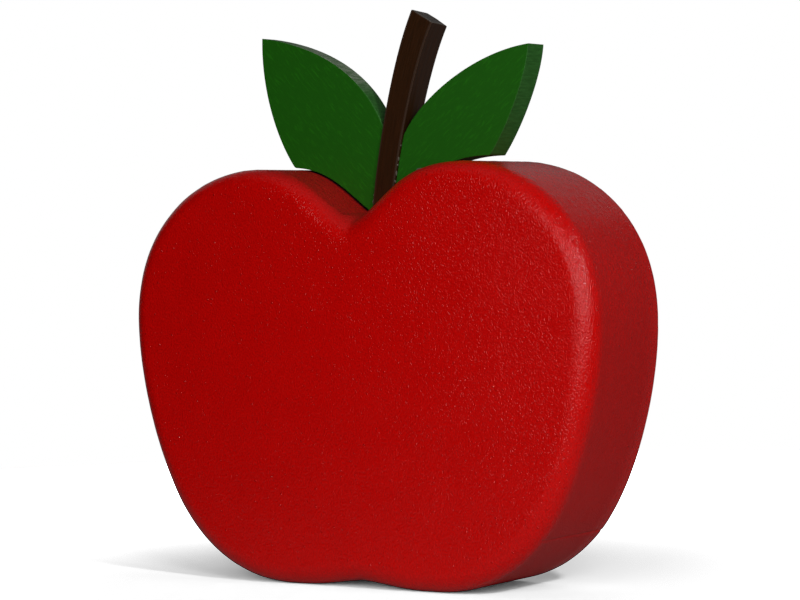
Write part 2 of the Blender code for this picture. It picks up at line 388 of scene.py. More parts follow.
def red_hardcoat_sprayed_foam(look):
    """Red hard coat, sprayed on foam: satin, saturated, with a fine pebbled skin and small nibs.

    The pebbles are a noise drawn a little taller than wide, as the wet coat ran, and the hollows
    between them are painted a little darker, as painted shade. The nibs are round bumps at
    scattered points, of random height, and a third of the points have none. Where the attribute
    "coarse" is high, the pebbles are deeper and lie on wider lumps. Where "dull" is high, the coat
    is rougher and its red is painted darker, as painted shade.
    Where the gap mask is high, the red is painted near black: painted shade in the gap under the
    left leaf.
    """
    material, add, shader = new_material("red_hardcoat_sprayed_foam")
    coarse, dull, bare = (add("Attribute", {"attribute_name": name}).outputs["Fac"]
                          for name in ("coarse", "dull", "bare"))
    place = add("TexCoord").outputs["Object"]
    drawn = add("Mapping", Vector=place, Scale=(1.0, 1.0, look.grain_width / look.grain_length))
    grain = add("TexNoise", Vector=drawn, Scale=1.0 / look.grain_width, Detail=1.0)
    lumps = add("TexNoise", Vector=drawn, Scale=1.0 / look.lump_width, Detail=1.0)
    nibs = add("TexVoronoi", Vector=place, Scale=1.0 / look.nib_spacing)
    dome = add("MapRange", SMOOTH, Value=nibs, From_Max=look.nib_radius / look.nib_spacing,
               To_Min=1.0, To_Max=0.0)
    chance = add("SeparateColor", Color=nibs.outputs["Color"])
    size = add("MapRange", Value=chance, From_Min=0.3)
    nib_height = add("Math", TIMES, i0=dome, i1=size)
    grain_depth = add("MapRange", Value=coarse, To_Min=0.45 * look.grain_height,
                      To_Max=1.5 * look.grain_height)
    lump_depth = add("Math", TIMES, i0=coarse, i1=look.lump_height)
    relief = add("Bump", Height=lumps, Distance=lump_depth)
    relief = add("Bump", Height=grain, Distance=grain_depth, Normal=relief)
    relief = add("Bump", Height=nib_height, Distance=look.nib_height, Normal=relief)

    cloud = add("TexNoise", Vector=place, Scale=1.0 / look.cloud_width, Detail=3.0)
    # Painted shade: the hollows between the pebbles get the darker red, as shade in them; the
    # cloud adds a slow random change of tone.
    pebbles = add("MapRange", Value=grain, From_Min=NOISE_LOW, From_Max=NOISE_HIGH)
    share = add("Mix", Factor=0.3, A=pebbles, B=cloud)
    tone = add("Mix", BLEND, Factor=share, A=look.shade_hex, B=look.colour_hex)
    # Painted shade: where "dull" is high, the red is mixed towards a brown-red, for the shade in
    # and beside the dip and low on the sides.
    painted_shade_share = add("Math", TIMES, i0=dull, i1=0.35)
    shaded_coat = add("Mix", BLEND, Factor=painted_shade_share, A=tone, B=look.dip_shade_hex)
    # Painted shade: the gap under the left leaf is painted near black.
    coat = add("Mix", BLEND, Factor=bare, A=shaded_coat, B=look.gap_shade_hex)
    gloss = add("MapRange", Value=cloud, From_Min=NOISE_LOW, From_Max=NOISE_HIGH,
                To_Min=look.roughness - 0.03, To_Max=look.roughness + 0.03)
    roughness = add("Math", TIMES_PLUS, i0=dull, i1=0.5, i2=gloss)
    plug(shader, Base_Color=coat, Roughness=roughness, Normal=relief, IOR=PAINT_IOR,
         Specular_IOR_Level=look.shine)
    return material


def green_brushed_paint_on_board(name, look, lean):
    """Green acrylic brushed on board: matt, with soft lighter marks along the brush's way.

    The marks are a noise drawn out along that way, of which the highest parts are kept. Marks of
    single bristles are too fine to show, so these are drawn as wide as a tuft's.
    """
    material, add, shader = new_material(name)
    place = add("TexCoord").outputs["Object"]
    brushed = add("Mapping", {"vector_type": "TEXTURE"}, Vector=place, Rotation=(0.0, -lean, 0.0),
                  Scale=(look.mark_length, look.mark_width, 0.9 * look.mark_width))
    strokes = add("TexNoise", Vector=brushed, Scale=1.0, Roughness=0.6, Distortion=0.5)
    marks = add("MapRange", SMOOTH, Value=strokes, From_Min=0.52, From_Max=0.72, To_Min=0.3,
                To_Max=0.63)
    tone = add("Mix", BLEND, Factor=marks, A=look.colour_hex, B=look.light_hex)
    relief = add("Bump", Height=strokes, Distance=look.stroke_depth)
    plug(shader, Base_Color=tone, Roughness=look.roughness, Normal=relief, IOR=PAINT_IOR,
         Specular_IOR_Level=0.25)
    return material


def green_paint_on_sawn_edge(name, look):
    """The same green on the board's sawn edges: it soaks in, and shows the saw lines as ridges.

    The lines are a noise drawn out along the saw's slanting way. Where the attribute "rubbed" is
    high, their tops are rubbed grey. Real saw lines are finer, so these are drawn coarse enough to
    The lines are a noise drawn out along the saw's slanting way. Where the mask of the left leaf's
    upper edge is high, their tops are painted grey: a painted sheen of light from behind, faded
    out towards the tip and beside the stem. Real saw lines are finer, so these are drawn coarse
    enough to show.
    """
    material, add, shader = new_material(name)
    place = add("TexCoord").outputs["UV"]
    sawn = add("Mapping", Vector=place, Rotation=(0.0, 0.0, radians(24.0)),
               Scale=(per_mm(1.7), per_mm(14.0), 1.0))
    lines = add("TexNoise", Vector=sawn, Scale=1.0, Roughness=0.6)
    tops = add("MapRange", SMOOTH, Value=lines, From_Min=0.35, From_Max=0.65)
    share = add("Math", TIMES_PLUS, i0=tops, i1=0.4, i2=0.3)
    tone = add("Mix", BLEND, Factor=share, A=look.edge_hex, B=look.edge_light_hex)
    # Painted sheen: on the left leaf's upper edge the saw line tops are painted grey for light
    # from behind reflected there.
    rubbed = add("Attribute", {"attribute_name": "rubbed"}).outputs["Fac"]
    broken = add("MapRange", Value=tops, To_Min=0.3)
    bare = add("Math", TIMES, i0=rubbed, i1=broken)
    worn = add("Mix", BLEND, Factor=bare, A=tone, B=look.edge_sheen_hex)
    relief = add("Bump", Height=lines, Distance=look.saw_depth)
    plug(shader, Base_Color=worn, Roughness=look.edge_roughness, Normal=relief, IOR=PAINT_IOR)
    return material


def dark_stained_planed_pine(look):
    """Pine bar, planed and stained dark brown: a fine grain along the bar, seen as thin streaks.

    Its long edges are rubbed, and the stain is thin and dull there. The rubbing comes from the
    mesh's attribute "wear", broken up by a noise along the bar.
    """
    material, add, shader = new_material("dark_stained_planed_pine")
    place = add("TexCoord").outputs["UV"]
    along = add("Mapping", Vector=place, Scale=(per_mm(1.3), per_mm(24.0), 1.0))
    grain = add("TexNoise", Vector=along, Scale=1.0, Detail=3.0, Roughness=0.6, Distortion=0.2)
    streaks = add("MapRange", Value=grain, From_Min=NOISE_LOW, From_Max=NOISE_HIGH)
    tone = add("Mix", BLEND, Factor=streaks, A=look.dark_hex, B=look.colour_hex)
    wear = add("Attribute", {"attribute_name": "wear"}).outputs["Fac"]
    rubbed = add("MapRange", Value=wear, From_Min=0.3)
    wide = add("Mapping", Vector=place, Scale=(per_mm(3.0), per_mm(7.0), 1.0))
    chance = add("TexNoise", Vector=wide, Scale=1.0)
    broken = add("MapRange", Value=chance, From_Min=0.3, From_Max=0.6, To_Min=0.2)
    bare = add("Math", TIMES, i0=rubbed, i1=broken)
    worn = add("Mix", BLEND, Factor=bare, A=tone, B=look.worn_hex)
    dull = add("MapRange", Value=rubbed, From_Max=0.6, To_Min=look.roughness, To_Max=0.75)
    relief = add("Bump", Height=grain, Distance=look.grain_depth)
    plug(shader, Base_Color=worn, Roughness=dull, Normal=relief, IOR=PAINT_IOR)
    return material


def dark_stained_sawn_end_grain(look):
    """The bar's sawn end: stained end grain, rougher, with growth rings and a rubbed grey rim.

    Wood fibres are too fine to show, so they are drawn as a coarser noise.
    """
    material, add, shader = new_material("dark_stained_sawn_end_grain")
    place = add("TexCoord").outputs["Object"]
    rings = add("TexWave", {"wave_type": "RINGS", "rings_direction": "Z"}, Vector=place,
                Scale=WAVE_UNIT * per_mm(3.2), Distortion=3.0).outputs["Fac"]
    fibre = add("TexNoise", Vector=place, Scale=per_mm(1.6))
    height = add("Math", i0=rings, i1=fibre)
    tone = add("Mix", BLEND, Factor=rings, A=look.end_dark_hex, B=look.end_hex)
    wear = add("Attribute", {"attribute_name": "wear"}).outputs["Fac"]
    rim = add("Mix", BLEND, Factor=wear, A=tone, B=look.end_rim_hex)
    relief = add("Bump", Height=height, Distance=look.end_depth)
    plug(shader, Base_Color=rim, Roughness=look.end_roughness, Normal=relief, IOR=PAINT_IOR)
    return material


def fine_grained(name, size, detail, dark_hex, light_hex, depth, **finish):
    """A plain material with one fine noise, in its colour and its relief, and a fixed finish."""
    material, add, shader = new_material(name)
    place = add("TexCoord").outputs["Object"]
    grain = add("TexNoise", Vector=place, Scale=per_mm(size), Detail=detail)
    tone = add("Mix", BLEND, Factor=grain, A=dark_hex, B=light_hex)
    relief = add("Bump", Height=grain, Distance=depth * MM)
    plug(shader, Base_Color=tone, Normal=relief, **finish)
    return material


def turned_beech_rod():
    """Turned beech: pale, dry wood with short darker flecks."""
    return fine_grained("turned_beech_rod", 1.2, 3.0, "#B08A5C", "#D3B283", 0.05, Roughness=0.6,
                        IOR=PAINT_IOR)


def dried_wood_glue(look):
    """Dried white glue: greyish off-white, half clear, smooth but uneven."""
    return fine_grained("dried_wood_glue", 0.8, 2.0, look.shade_hex, look.colour_hex, 0.1,
                        Roughness=0.35, IOR=GLUE_IOR)


# ---------------------------------------------------------------- settings

def length(name, description, default, low, high):
    """A length, from values in millimetres."""
    return FloatProperty(name=name, description=description, default=default * MM, min=low * MM,
                         max=high * MM, unit="LENGTH")


def factor(name, description, default):
    """A share from 0 to 1."""
    return FloatProperty(name=name, description=description, default=default, min=0.0, max=1.0,
                         subtype="FACTOR")


def colour(name, description, default):
    """A colour of a finish, as an sRGB hex value."""
    return StringProperty(name=name, description=description, default=default)


def power(name, description, default):
    """The power of a light, in watts."""
    return FloatProperty(name=name, description=description, default=default, min=0.0,
                         unit="POWER")


def angle(name, description, degrees):
    """An angle, from a value in degrees."""
    return FloatProperty(name=name, description=description, default=radians(degrees),
                         subtype="ANGLE")


class AppleBodySettings(bpy.types.PropertyGroup):
    """Sizes and colours of the coated body."""

    front_rounding: length("Front Rounding", "Radius of the round edge of the front face",
                           16.2, 4.0, 30.0)
    dip_rounding: length("Dip Rounding", "Extra radius of that edge beside the dip",
                         5.0, 0.0, 10.0)
    relief_height: length("Relief Height", "Depth of the slow waves that hand coating leaves",
                          0.08, 0.0, 1.0)
    bed_gap: length("Bed Gap", "Height of the gap between the coat and the left leaf's front edge",
                    1.3, 0.0, 3.0)
    seam_depth: length("Seam Depth", "Depth of the seam in the coat across the lower right side",
                       0.6, 0.0, 1.0)
    grain_width: length("Grain Width", "Width of the pebbles in the coat", 1.25, 0.5, 8.0)
    grain_length: length("Grain Length", "Height of the pebbles in the coat", 1.8, 0.5, 8.0)
    grain_height: length("Grain Depth", "Depth of the hollows between the pebbles", 1.0, 0.0, 2.0)
    lump_width: length("Lump Width", "Width of the wider lumps where the coat is coarse",
                       4.2, 1.0, 20.0)
    lump_height: length("Lump Height", "Height of those lumps", 1.3, 0.0, 3.0)
    nib_spacing: length("Nib Spacing", "Distance between the points that may bear a nib",
                        4.4, 2.0, 30.0)
    nib_radius: length("Nib Radius", "Radius of a nib at its foot", 1.0, 0.2, 3.0)
    nib_height: length("Nib Height", "Height of the tallest nibs", 0.8, 0.0, 2.0)
    cloud_width: length("Cloud Width", "Size of slow changes of tone and gloss", 45.0, 5.0, 200.0)
    colour_hex: colour("Colour", "The coat's red", "#FB0C08")
    # Painted shade: the darker red of the pebble hollows.
    shade_hex: colour("Shade", "The red in the hollows between the pebbles", "#DC0705")
    # Painted shade: the brown-red in and beside the dip and low on the sides.
    dip_shade_hex: colour("Dip Shade Colour", "The brown-red where the coat is dry", "#8A0A04")
    # Painted shade: near black for the gap under the left leaf.
    gap_shade_hex: colour("Gap Shade Colour", "The dark inside of the gap under the left leaf", "#160302")
    roughness: factor("Roughness", "Roughness of the coat", 0.14)
    shine: factor("Shine", "Strength of the coat's mirror reflection", 0.38)
    columns: IntProperty(name="Columns", description="Points along half the outline", default=300,
                         min=60, max=320)


class LeafSettings(bpy.types.PropertyGroup):
    """Sizes and colours of the two leaves."""

    arris: length("Arris", "Radius of the sanded edges", 0.45, 0.2, 3.0)
    worn_arris: length("Worn Arris", "Radius of the left leaf's upper edge beside the stem",
                       1.1, 0.2, 5.0)
    mark_length: length("Mark Length", "Length of the brush marks", 11.0, 2.0, 60.0)
    mark_width: length("Mark Width", "Width of the brush marks", 2.0, 0.5, 10.0)
    stroke_depth: length("Stroke Depth", "Depth of the brush strokes", 0.10, 0.0, 0.5)
    saw_depth: length("Saw Depth", "Depth of the saw lines on the edges", 0.22, 0.0, 0.5)
    colour_hex: colour("Colour", "The paint's green on the faces", "#155702")
    light_hex: colour("Light Colour", "The green where the paint is thin", "#2C8C10")
    edge_hex: colour("Edge Colour", "The green of the sawn edges", "#1A5E0A")
    edge_light_hex: colour("Light Edge Colour", "The green of the edges where the paint is thin",
                           "#3C8232")
    # Painted sheen: this grey on the left leaf's upper edge stands for light from behind reflected
    # there.
    edge_sheen_hex: colour("Edge Sheen Colour", "The grey where the left leaf's upper edge is rubbed",
                       "#9DAA94")
    roughness: factor("Roughness", "Roughness of the painted faces", 0.56)
    edge_roughness: factor("Edge Roughness", "Roughness of the painted sawn edges", 0.66)


class StemSettings(bpy.types.PropertyGroup):
    """Sizes and colours of the stem."""

    arris: length("Arris", "Radius of the bar's long edges", 0.5, 0.2, 3.0)
    grain_depth: length("Grain Depth", "Depth of the grain along the bar", 0.12, 0.0, 0.5)
    end_depth: length("End Depth", "Depth of the growth rings on the sawn end", 0.25, 0.0, 1.0)
    colour_hex: colour("Colour", "The stain where the wood takes less of it", "#402108")
    dark_hex: colour("Dark Colour", "The stain where the wood takes most", "#2F1702")
    worn_hex: colour("Worn Colour", "The wood where the long edges are rubbed", "#3E240D")
    end_hex: colour("End Colour", "The stain on the sawn end", "#4A3B30")
    end_dark_hex: colour("Dark End Colour", "The stain in the sawn end's growth rings", "#2A1D15")
    end_rim_hex: colour("Rim Colour", "The rubbed rim of the sawn end", "#6A625A")
    roughness: factor("Roughness", "Roughness of the stained faces", 0.36)
    end_roughness: factor("End Roughness", "Roughness of the sawn end", 0.5)


class GlueSettings(bpy.types.PropertyGroup):
    """Size and colours of the glue beads beside the stem."""

    bead_size: length("Bead Size", "Length of the longest bead", 5.0, 1.0, 10.0)
    colour_hex: colour("Colour", "The dried glue's off-white", "#8F8678")
    shade_hex: colour("Shade", "The glue where it is clear and shows the wood", "#55504A")


class StageSettings(bpy.types.PropertyGroup):
    """Floor, light and camera."""

    floor_colour: FloatVectorProperty(
        name="Floor", description="The floor's pale grey", subtype="COLOR", size=3,
        default=(0.5, 0.5, 0.5), min=0.0, max=1.0)
    floor_radius: length("Floor Radius", "Radius of the round floor", 1300.0, 600.0, 10000.0)
    light_distance: length("Light Distance", "From the object's middle to each light",
                           1800.0, 1000.0, 10000.0)
    key_power: power("Key Box", "Power of the soft box at the front right", 3.0)
    fill_power: power("Fill Box", "Power of the soft box at the front", 4.95)
    low_power: power("Low Box", "Power of the wide low box at the front", 5.8)
    sparkle_power: power("Sparkle Lamp", "Power of the small lamp beside the key box", 5.2)
    top_power: power("Top Box", "Power of the soft box overhead", 1.1)
    back_power: power("Back Card", "Power of the wide white card behind", 0.55)
    right_power: power("Right Card", "Power of the white card at the back right", 0.1)
    side_power: power("Left Card", "Power of the white card at the back left", 0.48)
    ambient: FloatProperty(
        name="Ambient", description="Strength of the even light from behind", default=0.095,
        min=0.0)
    camera_distance: length("Camera Distance", "From the front face to the camera",
                            2089.5, 500.0, 10000.0)
    camera_azimuth: angle("Camera Azimuth", "How far the camera stands round to the right", 35.08)
    camera_elevation: angle("Camera Elevation", "How far the camera looks down", 1.24)
    camera_roll: angle("Camera Roll", "How far the camera is turned about its own axis", -1.43)
    camera_lens: FloatProperty(
        name="Lens", description="Focal length on a 36 mm wide sensor", default=120.65, min=10.0,
        unit="CAMERA")


class DisplayAppleSettings(bpy.types.PropertyGroup):
    """All settings of the display apple."""

    body: PointerProperty(type=AppleBodySettings)
    leaves: PointerProperty(type=LeafSettings)
    stem: PointerProperty(type=StemSettings)
    glue: PointerProperty(type=GlueSettings)
    stage: PointerProperty(type=StageSettings)


def settings():
    """The scene's settings for this object."""
    return bpy.context.scene.display_apple


# ---------------------------------------------------------------- body

def body_half_outline(count):
    """Half the body's outline as points from the notch to the dip, with outward unit normals.

    The Bezier curves are joined and measured by arc length. The spacing is even, except that it is
    five times finer beside the seam, where the coat has a step.
    """
    dense = np.vstack([bezier(knots, 400)[:-1] for knots in BODY_CURVES] + [DIP[None, :]])
    lengths = arc_length(dense)
    beside_seam = np.exp(-(np.linalg.norm(dense - SEAM, axis=1) / 6.0) ** 2)
    weight = np.cumsum(1.0 + 4.0 * beside_seam)
    weight = weight - weight[0]
    stations = np.interp(np.linspace(0.0, weight[-1], count + 1), weight, lengths)
    points = follow(dense, lengths, stations)
    slope = follow(np.gradient(dense, lengths, axis=0), lengths, stations)
    slope /= np.linalg.norm(slope, axis=1)[:, None]
    slope[0] = heading(-NOTCH_SLOPE, 1.0)
    slope[-1] = -heading(DIP_SLOPE, 1.0)
    return points, np.stack([slope[:, 1], -slope[:, 0]], axis=1), stations


def inset_half(points, normals, stations, inset, spread=40.0):
    """Half the outline moved inwards by an inset per point, with mitres at the notch and the dip.

    At each end the moved curve stops short of the middle plane, so its end tangent is carried on
    to the plane. Points within the spread of an end slide along the lengthened curve, by the
    square of their nearness, so that they fill it evenly.
    """
    moved = points - normals * inset[:, None]
    low_tail = np.array([0.0, moved[0, 1] + moved[0, 0] * np.tan(radians(NOTCH_SLOPE))])
    high_tail = np.array([0.0, moved[-1, 1] - moved[-1, 0] * np.tan(radians(DIP_SLOPE))])
    longer = np.vstack([low_tail, moved, high_tail])
    lengths = arc_length(longer)
    low_gap, high_gap = lengths[1], lengths[-1] - lengths[-2]
    near_low = np.clip(1.0 - (stations - stations[0]) / spread, 0.0, 1.0) ** 2
    near_high = np.clip(1.0 - (stations[-1] - stations) / spread, 0.0, 1.0) ** 2
    places = lengths[1:-1] - low_gap * near_low + high_gap * near_high
    return follow(longer, lengths, places)


def both_halves(half):
    """A right half of an outline and its mirror image, as one closed ring."""
    left = half[-2:0:-1] * np.array([-1.0, 1.0])
    return np.vstack([half, left])


def body_grid(look):
    """The body's rings, from the middle of the front round its edge to the middle of the back.

    Front face: the inset outline shrunk towards the middle. Front edge: a quarter circle, wider
    beside the dip. Side: straight back. Back edge: a small quarter circle.
    """
    points, normals, stations = body_half_outline(look.columns)
    from_dip = (stations[-1] - stations) / 45.0
    radius = look.front_rounding / MM + look.dip_rounding / MM * np.exp(-from_dip**2)
    arris = BACK_ARRIS * np.ones(len(points))
    front, back = BODY_LOW[1], BODY_HIGH[1]

    def ring(inset, depth):
        flat = both_halves(inset_half(points, normals, stations, inset))
        depths = both_halves(np.stack([np.zeros(len(depth)), depth], axis=1))[:, 1]
        return np.stack([flat[:, 0], depths, flat[:, 1]], axis=1)

    edge = [ring(inset, front + depth) for inset, depth in rounding(radius, 11)]
    side = [ring(0.0 * arris, (front + radius) * (1.0 - share) + (back - arris) * share)
            for share in np.linspace(0.0, 1.0, 42)[1:-1]]
    back_edge = [ring(inset, back - depth) for inset, depth in rounding(arris, 4)[::-1]]
    poles = [np.array([BODY_MIDDLE[0], y, BODY_MIDDLE[1]]) for y in (front, back)]
    face_rings = shrunk(edge[0], poles[0], np.linspace(0.014, 1.0, 68)[:-1])
    back_rings = shrunk(back_edge[-1], poles[1], np.linspace(1.0, 0.03, 24)[1:])
    return np.array(face_rings + edge + side + back_edge + back_rings), poles


def leaf_bed(grid, gap):
    """How far the coat moves outwards in millimetres, at each point, to bed the left leaf.

    The leaf's lower edge gives a height for each X. From the round front edge back to the front of
    the leaf, the coat is lowered until it lies the gap under that height. Under the back half of
    the leaf it is raised to touch it. Both fade out smoothly towards the lobe and the dip.
    """
    x, y, z = np.moveaxis(grid, 2, 0)
    foot = bezier((LEFT_CORNER, *LEFT_LOWER_HANDLES, beside_stem(LEFT_STEM_HEIGHTS, -1)[0]), 400)
    clear = np.interp(x, foot[:, 0], foot[:, 1]) - z
    middle = 0.5 * (LEFT_LOW[1] + LEFT_HIGH[1])
    behind_middle = smooth_step(y, middle - 3.0, middle + 1.0)
    lowered = smooth_step(x, -78.0, -62.0) * smooth_step(y, BODY_LOW[1] + 1.0, BODY_LOW[1] + 20.0)
    lowered = lowered * (1.0 - behind_middle)
    raised = smooth_step(x, -82.0, -74.0) * behind_middle
    raised = raised * (1.0 - smooth_step(y, LEFT_HIGH[1] - 3.0, LEFT_HIGH[1] + 1.0))
    before_dip = 1.0 - smooth_step(x, -14.0, -3.0)
    touch = 0.3
    bed = raised * (clear + touch) - lowered * np.maximum(gap - clear, 0.0)
    return np.where(z > BODY_MIDDLE[1], bed * before_dip, 0.0)


def coat_coarseness(grid):
    """How coarse the coat is at each point, 0 to 1.

    On the front it is finest at the left and below, and slightly coarser to the right and above.
    Off the front it is coarse only near the top.
    """
    x, y, z = np.moveaxis(grid, 2, 0)
    upwards, near_top = smooth_step(z, 40.0, 250.0), smooth_step(z, 170.0, 330.0)
    on_front = FINEST_COAT + smooth_step(x, -20.0, 190.0) * (0.05 + 0.07 * upwards)
    off_front = smooth_step(y, BODY_LOW[1] + 6.0, BODY_LOW[1] + 17.0)
    return on_front + (FINEST_COAT + (1.0 - FINEST_COAT) * near_top - on_front) * off_front


def coat_dullness_and_shade(grid):
    """How rough and how darkened the coat is at each point, 0 to 1: the darkening is painted
    shade.

    It is 1 on top of the body in and beside the dip, and up to 0.6 low on the sides. It fades out
    towards the front face and before the back face.
    """
    x, y, z = np.moveaxis(grid, 2, 0)
    beside_dip = (1.0 - smooth_step(np.abs(x), 78.0, 100.0)) * (z > BODY_MIDDLE[1])
    behind_front = smooth_step(y, BODY_LOW[1] + 1.5, BODY_LOW[1] + 12.0)
    in_dip = beside_dip * behind_front * (1.0 - smooth_step(y, 18.0, BODY_HIGH[1] - 6.0))
    on_side = smooth_step(y, BODY_LOW[1] + 8.0, BODY_LOW[1] + 20.0)
    low = 0.6 * (1.0 - smooth_step(z, 150.0, 330.0)) * on_side
    return np.maximum(in_dip, low * (1.0 - smooth_step(y, 30.0, BODY_HIGH[1] - 1.0)))


def coat_gap_shade(grid):
    """1 in the gap under the left leaf, where the coat is painted near black as painted shade; 0
    elsewhere.
    """
    x, y, z = np.moveaxis(grid, 2, 0)
    beside_dip = smooth_step(x, -84.0, -76.0) * (1.0 - smooth_step(x, -10.0, -3.0))
    below_leaf = smooth_step(y, LEFT_LOW[1] - 1.5, LEFT_LOW[1] + 1.5)
    below_leaf = below_leaf * (1.0 - smooth_step(y, LEFT_HIGH[1] - 2.0, LEFT_HIGH[1]))
    return beside_dip * (z > BODY_MIDDLE[1]) * below_leaf


def sunk(relief):
    """A relief lowered by the height of its crests, so that none stands out of the frame."""
    return np.clip(relief - CREST, TROUGH, 0.0)


def make_body(look):
    """The coated body: its rings with slow waves, lumps, the seam and a bed for the left leaf."""
    grid, poles = body_grid(look)
    normals = grid_normals(grid)
    coarse = coat_coarseness(grid)
    waves = 0.6 * ripple(grid, SLOW_WAVE, 3) + 0.4 * ripple(grid, QUICK_WAVE, 4)
    push = look.relief_height / MM * (sunk(waves) + coarse * sunk(ripple(grid, LUMP_WAVE, 5)))
    from_seam = np.linalg.norm(grid[:, :, [0, 2]] - SEAM, axis=2)
    on_side = smooth_step(grid[:, :, 1], BODY_LOW[1] + 8.0, BODY_LOW[1] + 18.0)
    seam = np.exp(-(from_seam / SEAM_HALF_WIDTH) ** 2) * on_side
    push = push - look.seam_depth / MM * seam + leaf_bed(grid, look.bed_gap / MM)
    facing = np.sign((normals[0, :, 1] < 0.0).mean() - 0.5)
    # The second and third masks carry painted shade: a darker red in and beside the dip and low on
    # the sides, and near black in the gap under the left leaf.
    masks = {"coarse": coarse, "dull": coat_dullness_and_shade(grid), "bare": coat_gap_shade(grid)}
    grid = grid + normals * (push * facing)[:, :, None]
    coat = red_hardcoat_sprayed_foam(look)
    piece = closed_surface("coated_body", grid, poles, [coat], masks=masks)
    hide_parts("apple_body")
    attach(piece, "root")
    return piece


# ---------------------------------------------------------------- stem

def stem_forward(t):
    """Unit tangent of the centre line at t, and the curve's speed there."""
    t = np.asarray(t, float)[..., None]
    s = 1.0 - t
    a, b, c, d = STEM_CURVE
    speed = 3 * s * s * (b - a) + 6 * s * t * (c - b) + 3 * t * t * (d - c)
    size = np.linalg.norm(speed, axis=-1)
    return speed / size[..., None], size


def stem_half_width(t):
    """Half the stem's width at t, growing evenly to the top."""
    growth = STEM_TOP_HALF_WIDTH - STEM_FOOT_HALF_WIDTH
    return STEM_FOOT_HALF_WIDTH + growth * np.asarray(t, float)


def stem_edge_at(heights, side):
    """How far right the stem's left (side -1) or right (side +1) edge lies at given heights."""
    t = np.linspace(0.0, 1.0, 400)
    forward, _ = stem_forward(t)
    across = np.stack([forward[:, 1], -forward[:, 0]], axis=1)
    edge = bezier_at(STEM_CURVE, t) + across * (side * stem_half_width(t))[:, None]
    return np.interp(heights, edge[:, 1], edge[:, 0])


def square_section(half_width, half_depth, arris, per_side, per_corner=4):
    """A rectangle with rounded corners, as points (across, depth), counter-clockwise."""
    corners = []
    for turn, middle in enumerate(np.array([[1, -1], [1, 1], [-1, 1], [-1, -1]], float)):
        angles = np.linspace(-np.pi / 2, 0.0, per_corner + 1) + turn * np.pi / 2
        arc = arris * np.stack([np.cos(angles), np.sin(angles)], axis=1)
        corners.append(middle * np.array([half_width - arris, half_depth - arris]) + arc)
    shares = np.linspace(0.0, 1.0, per_side + 1)[1:-1, None]
    sides = []
    for corner, following in zip(corners, corners[1:] + corners[:1]):
        sides += [corner, corner[-1] * (1.0 - shares) + following[0] * shares]
    return np.vstack(sides)


def make_stem(look):
    """The stem: a rounded square section carried along its centre line, with a wedge foot.

    Ring i lies at t from 0 to the saw cut. The cut leans back and to the right, so each lengthwise
    line ends a little lower the further back and right it lies, and lowest at the worn corner
    between them. Both ends are closed by shrinking the end ring to its middle.
    """
    middle_y, half_depth = (STEM_LOW[1] + STEM_HIGH[1]) / 2, (STEM_HIGH[1] - STEM_LOW[1]) / 2
    arris = look.arris / MM
    section = square_section(STEM_FOOT_HALF_WIDTH, half_depth, arris, per_side=12)
    across_share, depth = section[:, 0] / STEM_FOOT_HALF_WIDTH, section[:, 1]
    across = across_share * STEM_TOP_HALF_WIDTH
    worn_corner = np.maximum(across, 0.0) * np.maximum(depth, 0.0)
    top_forward, speed = stem_forward(1.0)
    end = 1.0 - (SAW_SLANT * depth + SAW_LEAN * across + SAW_TWIST * worn_corner) / speed
    wave = ripple(np.stack([section[:, 0], depth, 0.0 * depth], axis=1), PLANED_WAVE, 11)
    wave = PLANED_DEPTH * (wave - 1.0)

    rings = []
    for share in np.linspace(0.0, 1.0, STEM_RINGS):
        t = end * share
        forward, _ = stem_forward(t)
        side = np.stack([forward[:, 1], -forward[:, 0]], axis=1)
        half_width = across_share * (stem_half_width(t) + wave)
        flat = bezier_at(STEM_CURVE, t) + side * half_width[:, None]
        rings.append(np.stack([flat[:, 0], middle_y + depth, flat[:, 1]], axis=1))
    rings[0][:, 2] += (STEM_WEDGE_TIP[1] - STEM_CURVE[0][1]) * (1.0 - np.abs(across_share))

    top, bottom_middle = rings[-1], rings[0].mean(axis=0)
    top_middle = top.mean(axis=0)
    up = np.array([top_forward[0], 0.0, top_forward[1]])
    rings[-1] = top - up * SAW_ARRIS
    caps = [top_middle + (top - top_middle) * (1.0 - inset / half_depth) - up * depth_left
            for inset, depth_left in rounding(SAW_ARRIS, 4)[-2::-1]]
    caps += shrunk(caps[-1], top_middle, (0.95, 0.8, 0.6, 0.4, 0.2))
    bottom = shrunk(rings[0], bottom_middle, (0.25, 0.5, 0.75))
    grid = np.array(bottom + rings + caps)
    slots = np.array([0] * (len(bottom) + len(rings)) + [1] * (len(caps) - 1))
    to_corner = np.hypot(STEM_FOOT_HALF_WIDTH - np.abs(section[:, 0]), half_depth - np.abs(depth))
    wear = np.tile(1.0 - smooth_step(to_corner, arris, 2.2), (len(grid), 1))
    rim_wear = (1.0, 0.9, 0.8, 0.7, 0.25, 0.0, 0.0, 0.0)
    wear[-len(caps):] = np.array(rim_wear)[:, None]
    materials = [dark_stained_planed_pine(look), dark_stained_sawn_end_grain(look)]
    piece = closed_surface("stained_stem", grid, (bottom_middle, top_middle), materials, slots,
                           {"wear": wear})
    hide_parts("stem")
    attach(piece, "root")
    return piece


# ---------------------------------------------------------------- leaves

def beside_stem(heights, side):
    """A leaf's edge beside the stem, between two heights and a joint's gap away from it."""
    levels = np.linspace(heights[0], heights[1], 60)
    return np.stack([stem_edge_at(levels, side) + side * JOINT_GAP, levels], axis=1)


def leaf_outline(curves, counts):
    """A closed outline from several curves, each spaced evenly, so that the corners stay sharp."""
    return np.vstack([even(curve, count) for curve, count in zip(curves, counts)])


